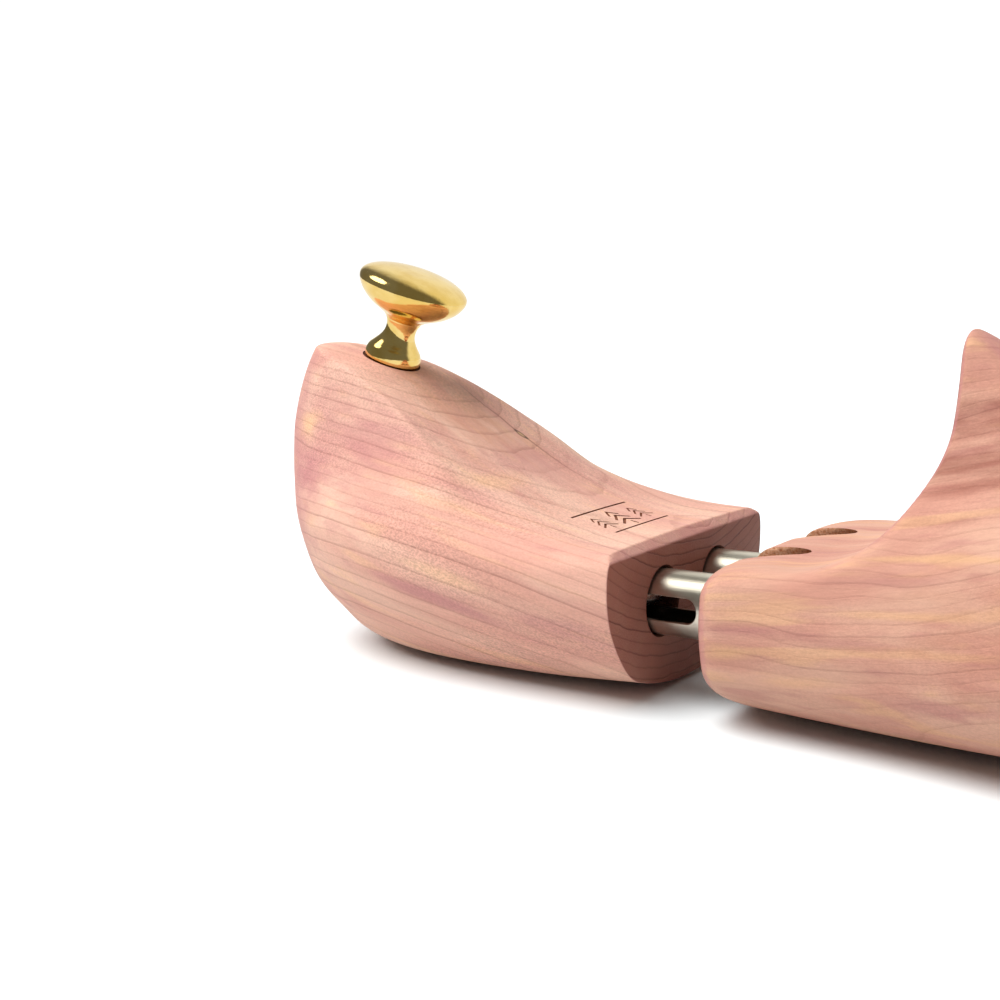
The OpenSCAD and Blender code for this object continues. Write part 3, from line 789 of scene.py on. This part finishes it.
def toe_half(a, knots):
    """Half width of the toe in plan."""
    ahead = np.clip((a - toe_start) / toe_reach, 0, 1)
    return (curve(knots, a) + toe_spare) * np.sqrt(1 - ahead**toe_power)


def fore_middle_z(a):
    """Height that the rays of the forepart's sections start from."""
    return np.interp(a, [0, 120, 173], [14, 14, 17.5])


def build_fore(wood):
    stations = fore_stations(0, fore_len)
    a = stations - fore_x
    # the rays start midway between the tubes, and further on midway between saw cut and medial side
    shift_from, shift_over = 42, 30
    middle = (toe_half(a, FORE_MEDIAL) + split_y + kerf) / 2
    rings = ring_points(main_field, stations, smooth_step((a - shift_from) / shift_over) * middle,
                        fore_middle_z(a), block_rays)
    return paint(loft("cedar_forepart", rings), wood)


def build_side(wood):
    start = split_x - fore_x
    rear_zone, tip = 1.2, 0.35
    body = fore_stations(start + rear_zone, fore_len - tip)
    rear = split_x + first_ring + rear_zone * arc_steps(12)[:-1]
    stations = np.concatenate([rear, body])
    a = stations - fore_x
    outer = -toe_half(a, FORE_LATERAL) - toe_gap
    across = np.maximum(split_x + split_r - stations, 0)
    inner = split_y - split_r + np.sqrt(np.maximum(split_r**2 - across**2, 0)) - toe_gap
    rings = ring_points(side_field, stations, (outer + inner) / 2, fore_middle_z(a), side_rays)
    return paint(loft("cedar_toe_side", rings), wood)


def tilt_cutter(side):
    """The room that one tube needs in the forepart as it tilts: tall at the mouth, round at the pin."""
    mouth_flare, most_flare = 0.35, 6
    rim_flare, rim_deep = 0.75, 0.45
    steps = np.concatenate([[fore_x - 8, fore_x - 0.02], fore_x + np.linspace(0.0, mouth_flare, 4),
                            np.linspace(fore_x + 1, pivot_x, 46), [pivot_x + 5, pivot_x + 10]])
    turn = np.linspace(0, 2 * math.pi, 96, endpoint=False)
    y, z = np.sin(turn), -np.cos(turn)
    rings = []
    for x in steps:
        rise = (pivot_x - x) * math.tan(tilt)
        level = np.where(z > 0, max(rise, 0), min(rise, 0)) + tube_z
        points_y = bore_r * y
        points_z = level + bore_r * z * np.where(z > 0, 1 / math.cos(tilt), 1)
        # the notch spreads where it breaks through the shelf, and the bore at its mouth
        shelf = scoop_z - scoop_r - max(scoop_in - (x - fore_x), 0) ** 2 * shelf_fall
        spread = np.clip(points_z - (shelf - rim_deep), 0, most_flare) * rim_flare
        mouth = min(max(fore_x + mouth_flare - x, 0), most_flare)
        points_y = points_y + spread * np.sign(y) * np.minimum(np.abs(y) * 4, 1) + mouth * y
        points_z = points_z + mouth * z
        rings.append(np.stack([x + 0 * turn, side * tube_y + points_y, points_z], 1))
    return loft("tilt slot", rings)


def guide_holes(radius, blind, deep, wall):
    """The guide pins' holes and the spring pockets, which go down to a depth from the sawn wall."""
    cutters = []
    for x, z in zip(guide_x, guide_z):
        cutters.append(bore("guide hole", radius, blind, deep, "Y", (x, 0, z), 0.1, 1))
        cutters.append(bore("spring pocket", pocket_r, deep, wall, "Y", (x, 0, z)))
    return cutters


def cut_fore(block, walls):
    cutters = [tilt_cutter(side) for side in (-1, 1)]
    cutters.append(bore("pin hole", pivot_r + snug, *pivot_hole, "Y", (pivot_x, 0, tube_z), 0.15))
    wall = split_y + kerf
    cutters += guide_holes(guide_r + snug, guide_end_main, wall + pocket_deep, wall)
    return drilled(block, cutters, walls)


def cut_side(block, walls):
    wall = split_y - toe_gap
    cutters = guide_holes(guide_r + guide_gap, guide_end_side, wall - pocket_deep, wall)
    hole_r, past = stop_r + snug, 5
    for x, z in zip(guide_x, guide_z):
        cutters.append(lathe("stop hole", [(0, -past), (hole_r, -past), (hole_r, z + past),
                                           (0, z + past)], 40, "Z", (x, stop_y, 0)))
    return drilled(block, cutters, walls)


# ---------------- metal parts
def slot_cutter(axis_y, wall):
    """A long slot with round ends through one wall of a tube, its edges eased at the outer skin."""
    start, end = slot_rear + slot_half, slot_front - slot_half
    bend = np.linspace(-math.pi / 2, math.pi / 2, 25)
    outline = ([(end, math.cos(q), math.sin(q)) for q in bend]
               + [(start, -math.cos(q), -math.sin(q)) for q in bend])
    rings = []
    # from the tube's axis out through its skin: how much wider, and how far outside the skin
    for grow, outside in ((0.0, None), (0.0, -0.14), (0.16, 0.0), (1.6, 1.6)):
        ring = []
        for x, nx, nz in outline:
            z = nz * (slot_half + grow)
            y = 0.0 if outside is None else math.sqrt(tube_r**2 - z**2) + outside
            ring.append((x + nx * (slot_half + grow), axis_y + wall * y, tube_z + z))
        rings.append(ring)
    return loft("slot", rings)


def build_tube(name, side, metal):
    """A bright tube with rounded ends, slotted through both walls, and drilled for the tilt pin."""
    ease, step = 0.25, 2.0
    axis_y = side * tube_y
    arc = np.linspace(0, math.pi / 2, 5)
    profile = []
    for r, way in ((tube_r, 1), (tube_in_r, -1)):
        rear = [(r - way * ease * (1 - math.sin(q)), tube_rear + ease * (1 - math.cos(q))) for q in arc]
        front = [(r - way * ease * (1 - math.cos(q)), tube_front - ease * (1 - math.sin(q))) for q in arc]
        steps = [(r, x) for x in np.arange(tube_rear + step, tube_front - step / 2, step)]
        profile += (rear + steps + front)[::way]
    tube = paint(lathe(name, profile, 160, "X", (0, axis_y, tube_z)), metal)
    cutters = [slot_cutter(axis_y, wall) for wall in (-1, 1)]
    hole_r, past = pivot_r + sliding, 9
    cutters.append(lathe("tilt hole", [(0, -past), (hole_r, -past), (hole_r, past), (0, past)], 64, "Y",
                         (pivot_x, axis_y, tube_z)))
    return drilled(tube, cutters, metal)


def coil(name, node, axis, radius, wire, turns, metal):
    """A compression spring of round wire with closed, ground ends, as long as its CAD node."""
    sides, steps = 14, 36
    low, high = box_mm(node)
    along = {"X": 0, "Y": 1}[axis]
    length = high[along] - low[along]
    centre = (low + high) / 2
    centre[along] = low[along]
    t = np.linspace(0, turns, turns * steps + 1)
    rise = np.where(t < 1, wire * t, np.where(t > turns - 1, length - wire - wire * (turns - t),
                                              wire + (length - 3 * wire) * (t - 1) / (turns - 2)))
    ring = np.linspace(0, 2 * math.pi, sides, endpoint=False)
    q = radius + wire / 2 * np.cos(ring)[None, :]
    a = (2 * math.pi * t)[:, None]
    height = wire / 2 + rise[:, None] + wire / 2 * np.sin(ring)[None, :]
    points = np.stack([q * np.cos(a), q * np.sin(a), np.clip(height, 0, length)], 2)
    return paint(loft(name, points[:, :, AXES[axis]] + centre), metal)


def knob_profile():
    """The turned outline of the knob: [radius as a share of the head, height above its foot]."""
    line = [[0.48, 0], [0.515, 0.9], [0.515, 1.9], [0.485, 3], [0.42, 4], [0.345, 5.2],
            [0.295, 6.4], [0.28, 7.6], [0.295, 8.8], [0.335, 9.8], [0.41, 10.7], [0.54, 11.6],
            [0.73, 12.9], [0.89, 14.6], [0.975, 16.2], [1, 17.4], [0.97, 18.3], [0.87, 19.2],
            [0.68, 20], [0.42, 20.6], [0.18, 20.8], [0, 20.85]]
    line = np.array(line, float)
    step = np.concatenate([[0], np.cumsum(np.hypot(*np.diff(line * [knob_r, 1], axis=0).T))])
    t = np.linspace(0, step[-1], 220)
    radius = curve(np.stack([step, line[:, 0] * knob_r], 1), t)
    height = curve(np.stack([step, line[:, 1]], 1), t)
    # two fine turned rings under the head
    wide = 0.16
    for at, deep in ((9.9, 0.16), (11.0, 0.12)):
        radius = radius - deep * np.exp(-(((height - at) / wide) ** 2))
    radius = np.clip(radius, 0, knob_r)
    radius[-1] = 0
    foot = [(0, 0.0), (knob_r * 0.44, 0.0), (knob_r * 0.465, 0.04)]
    return foot + list(zip(radius, np.clip(height, 0.02, None)))


def build_knob(metal):
    return paint(stand(lathe("brass_knob", knob_profile(), 180)), metal)


def seat(name, side, nylon):
    """A flanged spring seat with eased rims, pushed into the tube's rear end."""
    inner, rim = tube_in_r - snug, tube_r - 0.1
    ease, lead = 0.3, 0.5
    rear, front = tube_rear - seat_flange, tube_rear + seat_in
    profile = [(seat_hole_r, rear), (rim - ease, rear), (rim, rear + ease), (rim, tube_rear),
               (inner, tube_rear), (inner, front - lead), (inner - lead, front),
               (seat_hole_r + ease, front), (seat_hole_r, front - ease)]
    return paint(lathe(name, profile, axis="X", place=(0, side * tube_y, tube_z)), nylon)


def guide_pin(name, i, steel):
    """A guide pin with a slot along it, where the stop pin of the side piece runs."""
    low, high = box_mm("guide_pin_" + ("rear", "front")[i])
    pin = paint(rod(name, guide_r, low[1], high[1], "Y", (guide_x[i], 0, guide_z[i]), 64, 0.4), steel)
    half, past, room = 1.15, 5, 1.3
    start, end = stop_y - room, stop_y + toe_gap + room
    rings = [[(guide_x[i] + sx * half, y, guide_z[i] + sz * past)
              for sx, y in ((-1, start), (1, start), (1, end), (-1, end))] for sz in (-1, 1)]
    return drilled(pin, [loft("slot", rings)], steel)


# ---------------- assembly
# Patches of colour in the wood, and on the forepart one patch of painted shade: centre, half length, half
# width, tint, strength
HEEL_PATCHES = [
    ((-46, -18, 44), 40, 21, srgb(196, 140, 134), 0.6),
    ((-8, 0, 43), 20, 9, srgb(196, 140, 122), 0.35),
    ((-31, -21, 45.5), 17, 6, MAUVE, 0.4), ((-50, -20, 37.7), 10, 6, MAUVE, 0.75),
    ((-10, -32.6, 18.2), 24, 2.0, MAUVE, 0.7), ((-6, -33.8, 22.8), 17, 2.2, CREAM, 0.34),
    ((-54.5, -14.4, 46.7), 7, 4.5, CREAM, 0.7), ((20.7, -32.2, 15.3), 16, 3.4, MAUVE, 0.4),
    ((-2.6, -25.7, 38), 14, 2.6, MAUVE, 0.3), ((-4, -17.7, 39.1), 10, 1.4, CREAM, 0.4),
    ((-6.3, 0, 40.6), 15, 4.5, MAUVE, 0.35), ((-26, 0, 52), 24, 11, srgb(212, 154, 124), 0.5)]
FORE_TINTS_AND_SHADE = [
    ((88, -34, 36.3), 26, 1.0, CREAM, 0.6), ((89.4, -37.6, 27.8), 22, 1.1, CREAM, 0.5),
    ((90, -39, 22), 24, 1.3, CREAM, 0.45), ((52.6, -33, 15.6), 8, 1.8, CREAM, 0.5),
    ((65.5, -33.7, 12.5), 10, 1.5, CREAM, 0.4), ((56, -34, 20.5), 14, 1.7, MAUVE, 0.6),
    ((84, -35, 32.4), 15, 1.6, MAUVE, 0.4), ((92, -38.6, 13.7), 18, 2.2, MAUVE, 0.55),
    # painted shade: a dark mauve-brown patch on the instep's upper lateral side
    ((94, -26, 54), 36, 14.0, srgb(156, 98, 86), 0.85),
    ((100, -36, 26), 24, 14.0, srgb(190, 134, 112), 0.4), ((76.7, -36.2, 21), 10, 1.4, MAUVE, 0.35)]


def heel_cedar():
    rise = 0.2
    return cedar("cedar_heel_wood", (face_x, 3, 95), (-math.cos(rise), 0, math.sin(rise)), 4.2,
                 lines=0.34, fuzz=1.0, streaks=0.3, patches=HEEL_PATCHES,
                 knots=[((-14.9, 8.9, 45.3), (-0.85, 0, 0.53))])


def fore_cedar(name, patches=()):
    """The forepart and its side piece come from one block, so that the grain runs on."""
    rise = 0.13
    return cedar(name, (fore_x, 10, 112), (math.cos(rise), 0, math.sin(rise)), 9.6, ring=1.9,
                 sway=16.0, lines=0.14, fuzz=0.35, streaks=0.42, stain=FORE_STAIN, wave=62,
                 patches=patches)


def build_all():
    plug_wood = cedar("cedar_plug_wood", (0, 0, 8), (0.1, 1, 0), 2.4, ring=1.2)
    # painted shade: the heel's bore and hole walls are drilled cedar darkened to near black-brown, as if in
    # shadow
    shaded_bore_wood = drilled_wood("cedar_bore_painted_shade", srgb(58, 32, 24), srgb(98, 58, 42), srgb(112, 70, 54))
    # painted light: the forepart's notch, slot and hole walls are the same drilled cedar lightened, as if
    # lit inside
    lit_notch_wood = drilled_wood("cedar_notch_painted_light", srgb(206, 130, 94), srgb(238, 174, 134),
                           srgb(250, 202, 168))
    steel = drawn_metal("bright_steel", srgb(206, 208, 212), srgb(178, 180, 186), 0.18,
                        (0.5, 0.5, 3.0))
    spring = drawn_metal("spring_steel", srgb(150, 152, 158), srgb(112, 114, 120), 0.28,
                         (1.5, 1.5, 1.5))
    nickel = drawn_metal("bright_nickel", srgb(230, 226, 214), srgb(208, 202, 188), 0.22,
                         (0.05, 2.2, 2.2), tube_in_r)

    fit(build_heel(heel_cedar(), shaded_bore_wood, burnt_wood()), "heel", "cedar", "heel_block")
    main_wood = fore_cedar("cedar_forepart_wood", FORE_TINTS_AND_SHADE)
    fit(cut_fore(build_fore(main_wood), lit_notch_wood), "forepart", "cedar", "forepart_block")
    side_wood = fore_cedar("cedar_side_wood")
    fit(cut_side(build_side(side_wood), lit_notch_wood), "toe_side", "cedar", "toe_side_block")

    fit(build_knob(brass()), "heel", "brass", "knob")
    stud = stand(rod("knob_stud_rod", stud_r, stud_room - stud_depth, stud_in_knob, "Z", (0, 0, 0), 48))
    fit(paint(stud, steel), "heel", "steel", "knob_stud")

    nylon = moulded_nylon()
    for word, side in (("lateral", -1), ("medial", 1)):
        fit(build_tube("bright_tube_" + word, side, nickel), "tubes", "nickel_tube", "tube_" + word)
        fit(seat("nylon_seat_" + word, side, nylon), "tubes", "nylon", "spring_seat_" + word)
        node = "heel_spring_" + word
        made = coil("round_wire_" + node, node, "X", tube_in_r, heel_wire, heel_turns, spring)
        low, high = box_mm(node)
        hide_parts(node)
        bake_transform(made)

    for word, i in (("rear", 0), ("front", 1)):
        fit(guide_pin("steel_guide_" + word, i, steel), "forepart", "steel", "guide_pin_" + word)
        low, high = box_mm("stop_pin_" + word)
        stop = rod("steel_stop_" + word, stop_r, low[2], high[2], "Z", (guide_x[i], stop_y, 0), 40, 0.2)
        fit(paint(stop, steel), "toe_side", "steel", "stop_pin_" + word)
        node = "toe_spring_" + word
        made = coil("round_wire_" + node, node, "Y", toe_coil_r, toe_wire, toe_turns, spring)
        low, high = box_mm(node)
        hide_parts(node)
        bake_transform(made)

    for name, node, body, slot, radius, ease, look in (
            ("steel_cross_pin", "heel_cross_pin", "heel", "steel", cross_r, 0.35, steel),
            ("steel_tilt_pin", "tilt_pin", "forepart", "steel", pivot_r, 0.35, steel),
            ("cedar_plug_heel", "heel_pin_plug", "heel", "cedar_plug", cross_r, 0.2, plug_wood),
            ("cedar_plug_tilt", "tilt_pin_plug", "forepart", "cedar_plug", pivot_r, 0.2, plug_wood)):
        low, high = box_mm(node)
        x, _, z = (low + high) / 2
        pin = rod(name, radius, low[1], high[1], "Y", (x, 0, z), ease=ease)
        fit(paint(pin, look), body, slot, node)


# ---------------- stage, lights and camera
def build_stage():
    half = 3.0
    mesh = bpy.data.meshes.new("floor")
    mesh.from_pydata([(-half, -half, 0), (half, -half, 0), (half, half, 0), (-half, half, 0)], [],
                     [(0, 1, 2, 3)])
    floor = new_object("floor", mesh)
    look = Look("white_floor", Specular_IOR_Level=0.1)
    tone = look.noise(look.place(), 6.0, detail=2)
    grey = look.mix(look.spread(tone, 0.3, 0.7), srgb(218, 218, 219), srgb(223, 223, 223))
    # the camera sees a brighter, cooler floor than the wood does, which keeps it white
    seen = look.node("LightPath").outputs["Is Camera Ray"]
    floor.data.materials.append(look.finish(look.mix(seen, grey, (0.88, 0.95, 0.975, 1.0)), 0.8))


def build_world():
    """A white studio to the camera, an even sky to the wood, and a room with a window to the metal."""
    world = bpy.data.worlds.new("studio")
    world.use_nodes = True
    bpy.context.scene.world = world
    tree = world.node_tree

    def node(kind, inputs=(), **settings):
        return add_node(tree, kind, inputs, **settings)

    def toward(way, low, high, value):
        """A soft-edged area of light in one direction."""
        lean = node("VectorMath", {0: direction, 1: tuple(Vector(way).normalized())},
                    operation="DOT_PRODUCT").outputs["Value"]
        return node("MapRange", {"Value": lean, "From Min": low, "From Max": high, "To Min": 0.0,
                                 "To Max": value}, interpolation_type="SMOOTHSTEP").outputs["Result"]

    direction = node("TexCoord").outputs["Generated"]
    backdrop = toward((0.15, 0.99, 0.0), 0.36, 0.62, 0.8)
    window = toward((-0.42, -0.12, 0.9), 0.955, 0.975, 3.2)
    sky = toward((0, 0, 1), -0.3, 0.7, 0.36)
    shine = node("Math", {0: backdrop, 1: window}, operation="ADD").outputs[0]
    shine = node("Math", {0: shine, 1: 0.17}, operation="ADD").outputs[0]
    room = node("Background", {"Color": (1.0, 0.975, 0.9, 1), "Strength": shine}).outputs[0]
    even = node("Background", {"Color": (1.0, 0.99, 0.97, 1), "Strength": sky}).outputs[0]
    white = node("Background", {"Color": (1, 1, 1, 1), "Strength": 1.05}).outputs[0]
    path = node("LightPath").outputs
    lit = node("MixShader", {0: path["Is Glossy Ray"], 1: even, 2: room}).outputs[0]
    seen = node("MixShader", {0: path["Is Camera Ray"], 1: lit, 2: white}).outputs[0]
    tree.links.new(seen, tree.nodes["World Output"].inputs["Surface"])


def aim(name, lamp, place, target):
    made = new_object(name, lamp)
    made.location = place
    made.rotation_euler = (Vector(place) - Vector(target)).to_track_quat("Z", "Y").to_euler()
    return made


def diffuser(name, lean, strength, spread):
    """A broad, even light, like a large white cloth. It lights the whole floor alike."""
    lamp = bpy.data.lights.new(name, "SUN")
    lamp.energy = strength
    lamp.angle = math.radians(spread)
    lamp.color = (1.0, 0.99, 0.975)
    aim(name, lamp, lean, (0, 0, 0)).visible_glossy = False


def build_camera():
    """The photographer's view, from ahead of the heel on the lateral side and a little above."""
    azimuth, elevation, distance = math.radians(32.64), math.radians(9.13), 0.32811
    target = Vector((-0.01457, 0, 0.03223))
    back = Vector((math.sin(azimuth) * math.cos(elevation), -math.cos(azimuth) * math.cos(elevation),
                   math.sin(elevation)))
    lens = bpy.data.cameras.new("camera")
    lens.lens, lens.sensor_width = 55.98, 36.0
    camera = new_object("camera", lens)
    camera.location = target + back * distance
    camera.rotation_euler = back.to_track_quat("Z", "Y").to_euler()
    lens.clip_start, lens.clip_end = 0.01, 20.0
    bpy.context.scene.camera = camera


build_all()
build_stage()
build_world()
diffuser("key_cloth", lean=(-0.4, -0.38, 0.92), strength=4.1, spread=52)
build_camera()
bpy.context.scene.view_settings.view_transform = "Standard"
